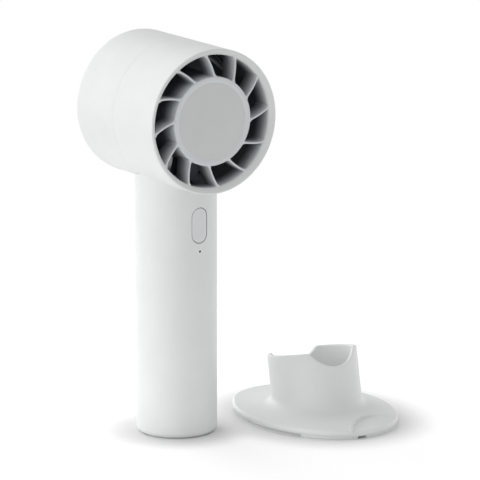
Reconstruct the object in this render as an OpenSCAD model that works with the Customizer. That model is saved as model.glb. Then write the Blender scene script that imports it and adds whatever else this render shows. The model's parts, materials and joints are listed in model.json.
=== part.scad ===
// Handheld electric fan: a ducted head on a round grip, with its own tilted desk stand.
// The fan stands on its base at the origin, blows along -Y, and +Z is up.

/* [Head] */
// Outer diameter of the head
head_d = 66; // [58:0.5:80]
// Length of the head from its front edge to its rear edge
head_len = 67; // [62:0.5:90]
// Distance from the head's front edge back to the grip's axis
axis_back = 32.5; // [28:0.5:40]
// Wall of the head's two shells
head_wall = 1.8; // [1.4:0.1:3]
// Width of the sloping lip round the outlet
lip_w = 2.8; // [2.4:0.1:4]
// Depth of the sloping lip
lip_depth = 2.2; // [1.5:0.1:3.5]
// Radius of the head's front edge
front_round = 0.8; // [0.4:0.1:1.2]
// Radius of the head's rear edge
rear_round = 3.6; // [2:0.1:5]
// Distance from the rear edge forward to the seam between the shells
seam_from_rear = 33.7; // [28:0.1:38]

/* [Outlet] */
// Number of guide vanes
vane_count = 12; // [8:1:16]
// Thickness of a vane
vane_t = 0.9; // [0.7:0.1:1.5]
// Depth of the vanes along the duct
vane_len = 10; // [8:0.5:12]
// Angle of the first vane's inner end above the horizontal
vane_phase = -4.5; // [-15:0.5:15]
// Angle that a vane's outer end runs ahead of its inner end
vane_sweep = 10.7; // [0:0.1:20]
// Diameter of the hub
hub_d = 40.6; // [38:0.2:44]
// Distance from the front edge back to the hub's face
hub_inset = 1.5; // [0.5:0.1:4]
// Width of the hub's raised rim
hub_rim_w = 2.3; // [1.5:0.1:3]

/* [Grip] */
// Diameter of the grip
grip_d = 37.2; // [35:0.2:46]
// Wall of the grip
grip_wall = 1.8; // [1.4:0.1:2.4]
// Height of the head's axis above the base
axis_height = 149.2; // [122:0.1:185]
// Height of the separate base cap
cap_h = 4; // [3.6:0.1:5]
// Radius of the base cap's lower edge
cap_round = 3; // [1:0.1:3.2]

/* [Button] */
// Height of the power button
button_h = 16.1; // [14:0.1:20]
// Width of the power button
button_w = 8; // [7.4:0.1:10]
// Distance that the button and the light stand to the right of the grip's middle line
button_side = 1; // [0:0.1:2]
// Distance from the head's underside down to the button's middle
button_drop = 17; // [13:0.5:27]
// Distance from the button's middle down to the status light
light_drop = 12; // [11:0.5:15]
// Travel of the button
button_travel = 0.4; // [0.2:0.05:0.5]

/* [Power] */
// Diameter of the battery cell
cell_d = 18.4; // [14:0.1:18.6]
// Length of the battery cell
cell_len = 65; // [50:0.5:65.5]
// Distance from the grip's front back to the circuit board's face
board_depth = 9.6; // [9.4:0.1:10.5]
// Width of the circuit board
board_w = 16; // [14:0.5:17]

/* [Motor] */
// Diameter of the shaft
shaft_d = 3; // [2:0.5:4]
// Outer diameter of the stator
stator_d = 21; // [19:0.5:22]
// Length of the stator
stator_len = 10; // [8:0.5:11]
// Number of stator teeth
tooth_count = 9; // [6:3:12]
// Length of the impeller
impeller_len = 17; // [14:0.5:18]
// Number of impeller blades
blade_count = 9; // [7:1:13]
// Slant of a blade from the shaft's direction
blade_slant = 52; // [40:1:60]
// Number of bars in the intake grille
bar_count = 24; // [16:1:30]

/* [Stand] */
// Width of the oval foot
dish_w = 68.8; // [64:0.2:90]
// Length of the oval foot from front to back
dish_len = 93.2; // [88:0.2:120]
// Radius of the oval's two ends
dish_end_r = 28; // [24:0.5:32]
// Lean of the cup
tilt = 11; // [6:0.5:14]
// Length of the cup along its axis, from the floor to its rim
cup_len = 31.7; // [28:0.1:40]
// Wall of the cup
cup_wall = 2; // [1.6:0.1:3]
// Depth of the two scallops in the rim
scallop_depth = 7.3; // [4:0.1:9]
// Gap between the grip and the side of the foot
stand_gap = 13.4; // [6:0.1:40]
// Distance from the fan's axis forward to the cup's axis
stand_forward = 18.7; // [0:0.1:30]

/* [Hidden] */
$fn = 96;

// Clearances: between fixed pieces, in a welded joint, round the button, beside spinning parts,
// and in a bearing
part_gap = 0.1;
join_gap = 0.05;
button_gap = 0.35;
spin_gap = 0.3;
run_gap = 0.02;
// Cutters run past the faces that they open by this much
past = 1;

head_r = head_d / 2;
bore_r = head_r - head_wall;
outlet_r = head_r - lip_w;
seam_at = head_len - seam_from_rear;
seam_gap = 0.1;

grip_r = grip_d / 2;
grip_bore = grip_r - grip_wall;
roof_z = axis_height - head_r;

hub_r = hub_d / 2;
hub_wall = 1.3;
disc_t = 1;
disc_inset = 0.4;
hub_disc_at = hub_inset + disc_inset;
hub_floor_at = hub_disc_at + disc_t + part_gap;
hub_floor_t = 2.4;
vane_at = hub_inset + 0.5;
collar_end = vane_at + vane_len;
ring_t = 1;
land_end = lip_depth + 1.1;

// Places along the motor, as depths behind the head's front edge
mount_at = hub_floor_at + hub_floor_t + part_gap;
mount_t = 2;
mount_r = 12;
mount_screw_r = 9;
motor_board_at = mount_at + mount_t + 1;
motor_board_t = 0.8;
coil_over = 1;
stator_at = motor_board_at + motor_board_t + 2.6;
stator_end = stator_at + stator_len;
bearing_r = shaft_d;
bearing_w = 2.5;
tube_r = bearing_r + 1;
tube_end = stator_end + coil_over + 0.2;
cup_plate_at = tube_end + 1;
cup_plate_t = 1.3;
magnet_in = stator_d / 2 + spin_gap;
magnet_t = 1.4;
rotor_cup_in = magnet_in + magnet_t + 0.05;
rotor_cup_out = rotor_cup_in + 0.95;
pod_end = cup_plate_at + cup_plate_t + 1.5;
pod_wall = 1.3;
strut_len = 7;
strut_w = 4.8;
lead_d = 1;
lead_pitch = 1.2;

impeller_at = pod_end + 0.8;
impeller_end = impeller_at + impeller_len;
impeller_r = hub_r - 0.3;
blade_t = 1.1;
spigot_in = bore_r - 1;
blade_tip = spigot_in - 0.8;
shaft_front = motor_board_at - 0.7;
shaft_end = impeller_at + 13;
grille_t = 3;
rear_lip = 2.2;
grille_at = head_len - rear_lip - part_gap - grille_t;

// Places in the grip
button_z = roof_z - button_drop;
light_z = button_z - light_drop;
flange_over = 1;
board_y = -(grip_r - board_depth);
board_t = 1.2;
board_top = button_z + 12;
board_foot = 2.6;
spine_y = board_y + board_t + 0.8;
spine_t = 0.9;
cell_r = cell_d / 2;
cell_y = spine_y + spine_t + 0.3 + cell_r;
plate_r = grip_bore - 0.3;
lower_plate_z = 13;
plate_t = 1.6;
cell_z = lower_plate_z + plate_t + 0.5;
cell_end = cell_z + cell_len;
upper_plate_z = cell_end + 2.4;
tab_t = 0.3;
boss_x = grip_bore - 2;
boss_r = 2.4;
boss_top = lower_plate_z - 0.2;
switch_w = 6;
switch_h = 3.3;
stem_r = 1.6;
stem_out = 0.5;
usb_w = 8.94;
usb_t = 3.26;
usb_len = 7.3;
usb_z = 0.5;
usb_y = board_y - 0.05 - usb_t / 2;
cap_floor = 2;
screw_r = 1;
screw_head_r = 1.9;
screw_head_h = 1.2;
light_r = 0.5;
rail_w = 1.2;
socket_w = 6;
socket_h = 5;
socket_t = 4;
battery_socket_z = 48;
// The strut across the duct stands straight above the motor leads' socket
lead_y = board_y - socket_t / 2;
strut_at = axis_back + lead_y - strut_len / 2;

// Places in the stand
cup_bore = grip_r + spin_gap;
cup_out = cup_bore + cup_wall;
cup_floor = 7.4;
dish_back = 3.5;
dish_top = 4.5;
dish_under = 1.2;
dish_crown = 6.6;
cup_seat = dish_top - 1;
rim_round = 1.5;
blend_r = 4.5;
scallop_half = 12.3;
stand_x = grip_r + stand_gap + dish_w / 2;
well_h = 2.6;
pocket_r = 12.5;
pocket_x = 4;
pocket_front = 42;
pocket_z = 2.2;
apron_front = 24;
notch_x = -4.4;
notch_w = 4.4;
notch_h = 1.2;
notch_end = 10;
pad_t = 0.5;
pad_r = 4;
ballast_t = 1;
plate_z = 0.3;

module in_head() {
    translate([0, -axis_back, axis_height]) rotate([-90, 0, 0]) children();
}

module ring(outer, inner, height) {
    difference() {
        cylinder(r = outer, h = height);
        translate([0, 0, -past]) cylinder(r = inner, h = height + 2 * past);
    }
}

// A slot shape standing on the XY plane: two round ends joined by a bar along Y
module slot(width, length, height) {
    reach = (length - width) / 2;
    for (side = [-1, 1]) translate([0, side * reach, 0]) cylinder(d = width, h = height);
    translate([-width / 2, -reach, 0]) cube([width, 2 * reach, height]);
}

// The button's slot, upright in the grip's front, running back along +Y from y_front
module front_slot(width, length, y_front, depth, z_mid) {
    translate([button_side, y_front, z_mid]) rotate([-90, 0, 0]) slot(width, length, depth);
}

// A wire through a list of points
module wire(points, diameter) {
    for (i = [0 : len(points) - 2]) {
        step = points[i + 1] - points[i];
        span = norm(step);
        turn = atan2(step[1], step[0]);
        lean = acos(step[2] / span);
        translate(points[i]) rotate([0, lean, turn]) cylinder(d = diameter, h = span, $fn = 24);
        if (i > 0) translate(points[i]) sphere(d = diameter, $fn = 24);
    }
}

module screw(shank_len) {
    cylinder(r = screw_head_r, h = screw_head_h, $fn = 48);
    translate([0, 0, screw_head_h - 0.01]) cylinder(r = screw_r, h = shank_len, $fn = 32);
}

// Half outline of the front barrel: rounded edge outside, sloping lip inside
module barrel_outline() {
    difference() {
        union() {
            translate([0, front_round]) square([head_r, seam_at - front_round]);
            square([head_r - front_round, seam_at]);
            translate([head_r - front_round, front_round]) circle(front_round);
        }
        translate([-past, land_end]) square([bore_r + past, seam_at]);
        translate([-past, -past]) square([outlet_r + past, seam_at]);
        polygon([[outlet_r - past, -past], [head_r - front_round, -past],
                 [head_r - front_round, 0], [outlet_r, lip_depth], [outlet_r - past, lip_depth]]);
    }
}

module lead_way(reach) {
    way_w = 2 * lead_pitch + lead_d + 0.4;
    way_len = lead_d + 1.6;
    translate([-way_w / 2, 0, strut_at + (strut_len - way_len) / 2]) cube([way_w, reach, way_len]);
}

module main_shell() color("white") {
    difference() {
        union() {
            in_head() rotate_extrude() barrel_outline();
            difference() {
                translate([0, 0, cap_h + part_gap])
                    cylinder(r = grip_r, h = axis_height - cap_h - part_gap);
                translate([0, 0, cap_h - past]) cylinder(r = grip_bore, h = axis_height);
                in_head() translate([0, 0, -past]) cylinder(r = bore_r + 0.5, h = head_len);
                in_head() translate([0, 0, seam_at])
                    cylinder(r = head_r + part_gap, h = head_len);
            }
            intersection() {
                for (side = [-1, 1]) translate([side * boss_x, 0, cap_h + part_gap])
                    cylinder(r = boss_r, h = boss_top - cap_h - part_gap, $fn = 48);
                cylinder(r = grip_r - 0.5, h = axis_height);
            }
        }
        for (side = [-1, 1]) translate([side * boss_x, 0, -past])
            cylinder(r = screw_r + 0.05, h = boss_top, $fn = 32);
        front_slot(button_w + 2 * button_gap, button_h + 2 * button_gap, -grip_r - past,
            grip_wall + 2 * past, button_z);
        translate([button_side, -grip_r - past, light_z]) rotate([-90, 0, 0])
            cylinder(r = light_r + part_gap, h = grip_wall + 2 * past, $fn = 32);
        in_head() lead_way(head_r + past);
    }
}

// Half outline of the rear barrel: rounded rear edge, inner lip behind the grille, and a spigot
module rear_outline() {
    start = seam_at + seam_gap;
    difference() {
        union() {
            translate([0, start]) square([head_r, head_len - rear_round - start]);
            translate([0, start]) square([head_r - rear_round, head_len - start]);
            translate([head_r - rear_round, head_len - rear_round]) circle(rear_round);
            translate([0, start - 4]) square([bore_r - part_gap, 5 + head_wall]);
        }
        translate([-past, start - 4 - past]) square([spigot_in + past, head_len]);
        translate([-past, start + 1 + head_wall])
            square([bore_r + past, head_len - rear_lip - start - 1 - head_wall]);
    }
}

module rear_shell() color("white") {
    in_head() rotate_extrude() rear_outline();
}

module vane(i) {
    from_a = -vane_phase + i * 360 / vane_count;
    to_a = from_a - vane_sweep;
    from = (hub_r - hub_wall / 2) * [cos(from_a), sin(from_a)];
    to = (outlet_r + ring_t / 2) * [cos(to_a), sin(to_a)];
    run = to - from;
    translate([from[0], from[1], vane_at]) rotate([0, 0, atan2(run[1], run[0])])
        translate([0, -vane_t / 2, 0]) cube([norm(run), vane_t, vane_len]);
}

module outlet_ring() color("gainsboro") in_head() {
    ring_at = land_end + part_gap;
    translate([0, 0, ring_at]) ring(bore_r - part_gap, outlet_r, collar_end - ring_at);
}

module guide_vanes() color("gainsboro") in_head() {
    intersection() {
        for (i = [0 : vane_count - 1]) vane(i);
        ring(outlet_r - join_gap, hub_r + join_gap, head_len);
    }
}

module hub_shell() color("gainsboro") in_head() {
    difference() {
        translate([0, 0, hub_inset]) cylinder(r = hub_r, h = collar_end - hub_inset);
        translate([0, 0, hub_inset - past])
            cylinder(r = hub_r - hub_rim_w, h = hub_floor_at - hub_inset + past);
        translate([0, 0, hub_floor_at + hub_floor_t])
            cylinder(r = hub_r - hub_wall, h = collar_end);
        for (a = [0 : 120 : 240]) rotate([0, 0, a]) translate([mount_screw_r, 0, 0]) {
            translate([0, 0, hub_floor_at - past])
                cylinder(r = screw_head_r + part_gap, h = screw_head_h + past, $fn = 48);
            cylinder(r = screw_r + part_gap, h = collar_end, $fn = 32);
        }
    }
}

module hub_disc() color("silver") in_head() {
    translate([0, 0, hub_disc_at]) cylinder(r = hub_r - hub_rim_w - part_gap, h = disc_t);
}

module motor_pod() color("white") in_head() {
    start = collar_end + part_gap;
    difference() {
        union() {
            translate([0, 0, start]) cylinder(r = hub_r, h = pod_end - start);
            translate([0, 0, start - 2.5]) cylinder(r = hub_r - hub_wall - part_gap, h = 3);
            translate([-strut_w / 2, hub_r - 1, strut_at])
                cube([strut_w, bore_r - 0.3 - hub_r, strut_len]);
        }
        translate([0, 0, start - 2.5 - past])
            cylinder(r = hub_r - hub_wall - part_gap - 1.1, h = pod_end - start + 2.5);
        translate([0, 0, start]) cylinder(r = tube_r + 2, h = pod_end);
        lead_way(bore_r + past);
    }
}

module intake_grille() color("gainsboro") in_head() translate([0, 0, grille_at]) {
    eye = 9;
    ring(bore_r - part_gap, bore_r - 2.2, grille_t);
    cylinder(r = eye, h = grille_t);
    translate([0, 0, grille_t - 1.4]) ring(eye + 10.6, eye + 9.4, 1.4);
    for (i = [0 : bar_count - 1]) rotate([0, 0, i * 360 / bar_count])
        translate([eye - 0.5, -0.5, 0]) cube([bore_r - 1.2 - eye, 1, grille_t]);
}

module motor_mount() color("silver") in_head() {
    difference() {
        union() {
            translate([0, 0, mount_at]) cylinder(r = mount_r, h = mount_t);
            translate([0, 0, mount_at]) cylinder(r = tube_r, h = tube_end - mount_at);
        }
        translate([0, 0, mount_at + mount_t])
            cylinder(r = bearing_r, h = tube_end);
        for (a = [0 : 120 : 240]) rotate([0, 0, a]) translate([mount_screw_r, 0, 0])
            cylinder(r = screw_r + 0.05, h = tube_end, $fn = 32);
    }
}

module mount_screws() color("dimgray") in_head() {
    for (a = [0 : 120 : 240]) rotate([0, 0, a]) translate([mount_screw_r, 0, hub_floor_at])
        screw(mount_at + mount_t - hub_floor_at - screw_head_h);
}

module motor_board() color("darkgreen") in_head() {
    translate([0, 0, motor_board_at]) ring(mount_r - 0.5, tube_r + part_gap, motor_board_t);
}

module stator_core() color("slategray") in_head() translate([0, 0, stator_at]) {
    yoke = tube_r + 1.9;
    tip = stator_d / 2;
    shoe_half = tip * sin(130 / tooth_count);
    linear_extrude(stator_len) difference() {
        union() {
            circle(yoke);
            intersection() {
                circle(tip);
                for (i = [0 : tooth_count - 1]) rotate(i * 360 / tooth_count) {
                    translate([yoke - 0.5, -0.9]) square([tip, 1.8]);
                    translate([tip - 1.1, -shoe_half]) square([2, 2 * shoe_half]);
                }
            }
        }
        circle(tube_r + 0.02);
    }
}

module stator_coils() color("peru") in_head() translate([0, 0, stator_at - coil_over]) {
    inner = tube_r + 2.1;
    length = stator_d / 2 - 1.3 - inner;
    for (i = [0 : tooth_count - 1]) rotate([0, 0, i * 360 / tooth_count])
        difference() {
            translate([inner, -1.45, 0]) cube([length, 2.9, stator_len + 2 * coil_over]);
            translate([inner - past, -0.95, coil_over - 0.05])
                cube([length + 2 * past, 1.9, stator_len + 0.1]);
        }
}

module bearings() color("lightgray") in_head() {
    for (at = [mount_at + mount_t + 0.6, tube_end - bearing_w - 0.1]) translate([0, 0, at])
        ring(bearing_r - 0.02, shaft_d / 2, bearing_w);
}

module impeller_blades() color("dimgray") in_head() {
    intersection() {
        for (i = [0 : blade_count - 1]) rotate([0, 0, i * 360 / blade_count])
            translate([0, 0, impeller_at + impeller_len / 2]) rotate([blade_slant, 0, 0])
                translate([impeller_r - 1, -blade_t / 2, -impeller_len])
                    cube([blade_tip, blade_t, 2 * impeller_len]);
        translate([0, 0, impeller_at]) ring(blade_tip, impeller_r + join_gap, impeller_len);
    }
}

module impeller_hub() color("dimgray") in_head() {
    hub_round = 5;
    hub_skin = 1.5;
    boss_reach = 4;
    difference() {
        union() {
            difference() {
                rotate_extrude() difference() {
                    union() {
                        translate([0, impeller_at]) square([impeller_r, impeller_len - hub_round]);
                        translate([0, impeller_at]) square([impeller_r - hub_round, impeller_len]);
                        translate([impeller_r - hub_round, impeller_end - hub_round])
                            circle(hub_round);
                    }
                    translate([-impeller_r, 0]) square([impeller_r, head_len]);
                }
                translate([0, 0, impeller_at - past])
                    cylinder(r = impeller_r - hub_skin, h = impeller_len - 3 + past - hub_skin);
            }
            translate([0, 0, impeller_at]) cylinder(r = boss_reach, h = impeller_len - 1);
            for (a = [0 : 60 : 300]) rotate([0, 0, a]) translate([boss_reach - 1, -0.6, impeller_at + 2])
                cube([impeller_r - boss_reach, 1.2, impeller_len - 4]);
        }
        cylinder(r = shaft_d / 2, h = shaft_end + 0.5);
    }
}

module rotor_cup() color("dimgray") in_head() {
    start = stator_at - coil_over - 0.4;
    difference() {
        translate([0, 0, start]) cylinder(r = rotor_cup_out, h = cup_plate_at + cup_plate_t - start);
        translate([0, 0, start - past]) cylinder(r = rotor_cup_in, h = cup_plate_at - start + past);
        cylinder(r = shaft_d / 2, h = head_len);
    }
}

module rotor_magnet() color("darkslategray") in_head() {
    translate([0, 0, stator_at]) ring(rotor_cup_in - 0.02, magnet_in, stator_len);
}

module shaft() color("lightsteelblue") in_head() {
    translate([0, 0, shaft_front]) cylinder(r = shaft_d / 2 - run_gap, h = shaft_end - shaft_front);
}

module shaft_clip() color("gray") in_head() {
    translate([0, 0, mount_at + mount_t + 0.05])
        ring(shaft_d / 2 + 0.9, shaft_d / 2 - run_gap, 0.45);
}

module power_button() color("white") {
    flange_w = button_w + 2 * flange_over;
    flange_h = button_h + 2 * flange_over;
    skin = grip_wall + 0.3;
    intersection() {
        front_slot(button_w, button_h, -grip_r - past, grip_r, button_z);
        translate([0, 0, button_z - button_h])
            ring(grip_r, grip_r - skin, 2 * button_h);
    }
    intersection() {
        front_slot(flange_w, flange_h, -grip_r - past, grip_r, button_z);
        translate([0, 0, button_z - button_h])
            ring(grip_bore - 0.3, grip_bore - 1.3, 2 * button_h);
    }
    post_end = board_y - switch_h - stem_out - 0.05;
    translate([button_side, -grip_bore + 0.6, button_z]) rotate([-90, 0, 0])
        cylinder(r = 1.8, h = post_end + grip_bore - 0.6, $fn = 48);
}

module switch_stem() color("black") {
    translate([button_side, board_y - switch_h - stem_out, button_z]) rotate([-90, 0, 0])
        cylinder(r = stem_r, h = 1.2, $fn = 48);
}

module switch_body() color("silver") {
    difference() {
        translate([button_side - switch_w / 2, board_y - switch_h, button_z - switch_w / 2])
            cube([switch_w, switch_h, switch_w]);
        translate([button_side, board_y - switch_h - past, button_z]) rotate([-90, 0, 0])
            cylinder(r = stem_r + part_gap, h = past + 1.2 + button_travel, $fn = 48);
    }
}

module status_light() color("lightyellow") {
    translate([button_side - 0.8, board_y - 1, light_z - 0.8]) cube([1.6, 1, 1.6]);
}

module light_pipe() color("ghostwhite") {
    translate([button_side, -grip_r + 0.1, light_z]) rotate([-90, 0, 0])
        cylinder(r = light_r, h = grip_r + board_y - 1.2, $fn = 32);
}

module circuit_board() color("darkgreen") {
    translate([-board_w / 2, board_y, board_foot]) cube([board_w, board_t, board_top - board_foot]);
}

module control_chip() color("black") {
    translate([-4, board_y - 1.4, battery_socket_z + 14]) cube([8, 1.4, 8]);
}

module power_coil() color("dimgray") {
    translate([0, board_y - 3, 26]) rotate([-90, 0, 0]) cylinder(r = 4, h = 3, $fn = 48);
}

module lead_sockets() color("ivory") {
    for (z = [battery_socket_z, board_top - socket_h - 0.5])
        translate([-socket_w / 2, board_y - socket_t, z]) cube([socket_w, socket_t, socket_h]);
}

module usb_port() color("silver") {
    translate([0, usb_y, usb_z]) difference() {
        rotate([0, 0, 90]) slot(usb_t, usb_w, usb_len);
        translate([0, 0, -past]) rotate([0, 0, 90])
            slot(usb_t - 0.6, usb_w - 0.6, usb_len - 0.5 + past);
    }
}

module usb_tongue() color("black") {
    translate([-3.3, usb_y - 0.35, usb_z + 0.8]) cube([6.6, 0.7, usb_len - 1.35]);
}

module cradle_outline(reach) {
    translate([0, cell_y]) circle(reach);
    translate([-reach, spine_y + spine_t]) square([2 * reach, cell_y - spine_y - spine_t]);
}

module chassis() color("gray") {
    spine_half = cell_r + 2;
    difference() {
        union() {
            for (z = [lower_plate_z, upper_plate_z]) translate([0, 0, z])
                cylinder(r = plate_r, h = plate_t);
            translate([0, 0, lower_plate_z]) linear_extrude(cell_end - 6 - lower_plate_z)
                cradle_outline(cell_r + 1);
        }
        translate([-grip_r, -grip_r, 0]) cube([grip_d, grip_r + spine_y, axis_height]);
        translate([0, 0, lower_plate_z + plate_t]) linear_extrude(cell_len + 0.9)
            cradle_outline(cell_r + 0.2);
        for (z = [cell_z + 8, cell_z + 34]) translate([-grip_r, cell_y, z])
            cube([grip_d, grip_r, 20]);
        translate([-3, cell_y - 3, 0]) cylinder(r = lead_d, h = cell_z, $fn = 32);
    }
    translate([-spine_half, spine_y, lower_plate_z])
        cube([2 * spine_half, spine_t, roof_z - 0.4 - lower_plate_z]);
    for (side = [-1, 1]) translate([side * (board_w / 2 + 0.15 + rail_w / 2) - rail_w / 2,
            board_y - 0.9, lower_plate_z])
        cube([rail_w, spine_y - board_y + 0.9 + spine_t / 2, board_top - lower_plate_z]);
}

module battery_cell() color("mediumseagreen") {
    translate([0, cell_y, cell_z]) cylinder(r = cell_r, h = cell_len);
}

module cell_tabs() color("lightgray") {
    for (z = [cell_z - 0.05 - tab_t, cell_end + 0.05]) translate([-4, cell_y - 4, z])
        cube([8, 8, tab_t]);
}

module battery_leads() color("firebrick") {
    out_x = cell_r + 2.7;
    out_y = board_y - 1.6;
    in_x = board_w / 2 + 1.5;
    top_z = cell_end + 0.05 + tab_t + 0.6;
    low_z = boss_top - 1;
    socket_z = battery_socket_z + socket_h / 2;
    lead_end = socket_w / 2 + 0.05;
    wire([[2, cell_y, top_z], [out_x, cell_y, top_z], [out_x, out_y, top_z],
          [out_x, out_y, socket_z], [lead_end, out_y, socket_z]], lead_d);
    wire([[-lead_end, out_y, socket_z], [-out_x, out_y, socket_z], [-out_x, out_y, low_z],
          [-in_x, out_y, low_z], [-in_x, cell_y - 3, low_z], [-3, cell_y - 3, low_z],
          [-3, cell_y - 3, cell_z - tab_t - 0.1]], lead_d);
}

module motor_leads() color("darkorange") {
    turn_r = hub_r - hub_wall - part_gap - 1.1 - lead_d;
    board_mid = -axis_back + motor_board_at + motor_board_t / 2;
    for (i = [-1 : 1]) {
        x = i * lead_pitch;
        wire([[x, lead_y, board_top - 0.45], [x, lead_y, axis_height - turn_r],
              [x, board_mid, axis_height - turn_r], [x, board_mid, axis_height - mount_r + 0.4]],
             lead_d);
    }
}

module base_cap() color("white") {
    difference() {
        union() {
            rotate_extrude() difference() {
                union() {
                    translate([0, cap_round]) square([grip_r, cap_h - cap_round]);
                    square([grip_r - cap_round, cap_h]);
                    translate([grip_r - cap_round, cap_round]) circle(cap_round);
                }
                translate([-grip_r, -past]) square([grip_r, 2 * grip_r]);
                translate([0, cap_h]) square([2 * grip_r, 2 * grip_r]);
            }
            difference() {
                translate([0, 0, cap_floor]) ring(grip_bore - 0.2, grip_bore - 1.5, 5);
                for (side = [-1, 1]) translate([side * boss_x, 0, cap_h])
                    cylinder(r = boss_r + 0.3, h = 5, $fn = 48);
            }
        }
        difference() {
            translate([0, 0, cap_floor]) cylinder(r = grip_bore - 1.5, h = 2 * cap_h);
            for (side = [-1, 1]) translate([side * boss_x, 0, 0])
                cylinder(r = boss_r, h = cap_h, $fn = 48);
        }
        translate([0, usb_y, -past]) rotate([0, 0, 90]) slot(usb_t + 0.4, usb_w + 0.4, 2 * cap_h);
        for (side = [-1, 1]) translate([side * boss_x, 0, -past]) {
            cylinder(r = screw_head_r + part_gap, h = 0.5 + screw_head_h + past, $fn = 48);
            cylinder(r = screw_r + part_gap, h = 2 * cap_h, $fn = 32);
        }
    }
}

module base_screws() color("dimgray") {
    for (side = [-1, 1]) translate([side * boss_x, 0, 0.45]) screw(8);
}

// An oval of four arcs: half width, half length, and the radius of the two end arcs
module oval(half_w, half_len, end_r) {
    end_y = half_len - end_r;
    side_r = (end_r * end_r - half_w * half_w - end_y * end_y) / (2 * (end_r - half_w));
    side_x = side_r - half_w;
    meet_y = end_y * side_r / (side_r - end_r);
    for (side = [-1, 1]) translate([0, side * end_y]) circle(end_r);
    intersection() {
        translate([side_x, 0]) circle(side_r);
        translate([-side_x, 0]) circle(side_r);
        translate([-half_w, -meet_y]) square([2 * half_w, 2 * meet_y]);
    }
}

module foot_oval(inset) {
    translate([0, dish_back]) oval(dish_w / 2 - inset, dish_len / 2 - inset, dish_end_r - inset);
}

module at_stand() {
    translate([stand_x, -stand_forward, 0]) children();
}

module on_cup_axis() {
    rotate([-tilt, 0, 0]) children();
}

// The dish: a rounded rim and a gently rising top
module dish_solid() {
    mid_z = (dish_under + dish_top) / 2;
    hull() {
        translate([0, 0, dish_under]) linear_extrude(0.01) foot_oval(rim_round * 0.6);
        translate([0, 0, mid_z - 0.4]) linear_extrude(0.8) foot_oval(0);
        translate([0, 0, dish_top - 0.3]) linear_extrude(0.01) foot_oval(rim_round * 0.35);
        translate([0, 0, dish_top]) linear_extrude(0.01) foot_oval(rim_round);
        translate([0, 0, dish_crown - 0.01]) cylinder(r = cup_out + blend_r, h = 0.01);
    }
}

// Concave blend from the dish's top into the cup's wall
module cup_blend() {
    translate([0, 0, dish_crown - 0.05]) rotate_extrude() difference() {
        square([cup_out + blend_r, blend_r]);
        translate([cup_out + blend_r, blend_r]) circle(blend_r);
        translate([-past, -past]) square([cup_out - 3, 2 * blend_r]);
    }
}

module rim_cutters() {
    scallop_r = (scallop_half * scallop_half + scallop_depth * scallop_depth) / (2 * scallop_depth);
    on_cup_axis() {
        translate([0, 0, cup_len + scallop_r - scallop_depth]) rotate([90, 0, 0])
            translate([0, 0, -2 * cup_out]) cylinder(r = scallop_r, h = 4 * cup_out);
        translate([0, 0, cup_floor]) cylinder(r = cup_bore, h = cup_len);
    }
}

// The cup, cut off level where it is joined to the foot
module stand_cup() color("white") at_stand() {
    difference() {
        on_cup_axis() cylinder(r = cup_out, h = cup_len);
        translate([-dish_w, -dish_len, cup_seat - cup_out])
            cube([2 * dish_w, 2 * dish_len, cup_out]);
        rim_cutters();
    }
}

module stand_foot() color("white") at_stand() {
    difference() {
        union() {
            dish_solid();
            linear_extrude(dish_under + 1) intersection() {
                foot_oval(rim_round * 0.6);
                translate([-dish_w, -dish_len]) square([2 * dish_w, dish_len - apron_front]);
            }
            intersection() {
                cup_blend();
                on_cup_axis() cylinder(r = cup_out + blend_r, h = cup_len);
            }
        }
        difference() {
            on_cup_axis() cylinder(r = cup_out + join_gap, h = cup_len);
            translate([-dish_w, -dish_len, cup_seat - cup_out])
                cube([2 * dish_w, 2 * dish_len, cup_out - join_gap]);
        }
        translate([0, 0, dish_under - past])
            linear_extrude(well_h - dish_under + past) well_outline(0);
        translate([pocket_x, -pocket_front, pocket_z]) cylinder(r = pocket_r, h = dish_crown);
        translate([notch_x - notch_w / 2, -dish_len, -past])
            cube([notch_w, dish_len - apron_front - notch_end, notch_h + past]);
        for (p = screw_places()) translate([p[0], p[1], 0])
            cylinder(r = screw_r + 0.05, h = well_h + 1.2, $fn = 32);
    }
}

function screw_places() = [
    for (side = [-1, 1]) [side * (dish_w / 2 - 8), dish_back + 2],
    [0, dish_back + dish_len / 2 - 8]
];

// The hollow under the foot, ending behind the front pocket
module well_outline(inset) {
    intersection() {
        foot_oval(2.5 + inset);
        translate([-dish_w, -apron_front + inset]) square([2 * dish_w, 2 * dish_len]);
    }
}

module stand_plate() color("lightgray") at_stand() {
    difference() {
        translate([0, 0, plate_z]) linear_extrude(dish_under) well_outline(part_gap);
        for (p = screw_places()) translate([p[0], p[1], 0]) {
            cylinder(r = screw_head_r + part_gap, h = plate_z + 0.7, $fn = 48);
            cylinder(r = screw_r + part_gap, h = well_h, $fn = 32);
        }
        for (p = pad_places()) translate([p[0], p[1], 0]) cylinder(r = pad_r + part_gap, h = pad_t);
    }
}

module stand_ballast() color("gray") at_stand() {
    difference() {
        translate([0, 0, plate_z + dish_under + 0.05])
            linear_extrude(well_h - plate_z - dish_under - 0.1) well_outline(1.5);
        for (p = screw_places()) translate([p[0], p[1], 0])
            cylinder(r = screw_r + 1.5, h = dish_top, $fn = 48);
    }
}

function pad_places() = [
    for (side = [-1, 1]) [side * (dish_w / 2 - 14), -apron_front + 8],
    for (side = [-1, 1]) [side * (dish_w / 2 - 18), dish_back + dish_len / 2 - 16]
];

module stand_pads() color("dimgray") at_stand() {
    for (p = pad_places()) translate([p[0], p[1], 0]) cylinder(r = pad_r, h = pad_t - 0.05);
}

module stand_screws() color("dimgray") at_stand() {
    for (p = screw_places()) translate([p[0], p[1], plate_z + 0.1]) {
        cylinder(r = screw_head_r, h = 0.6, $fn = 48);
        cylinder(r = screw_r, h = well_h + 0.6, $fn = 32);
    }
}

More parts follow.
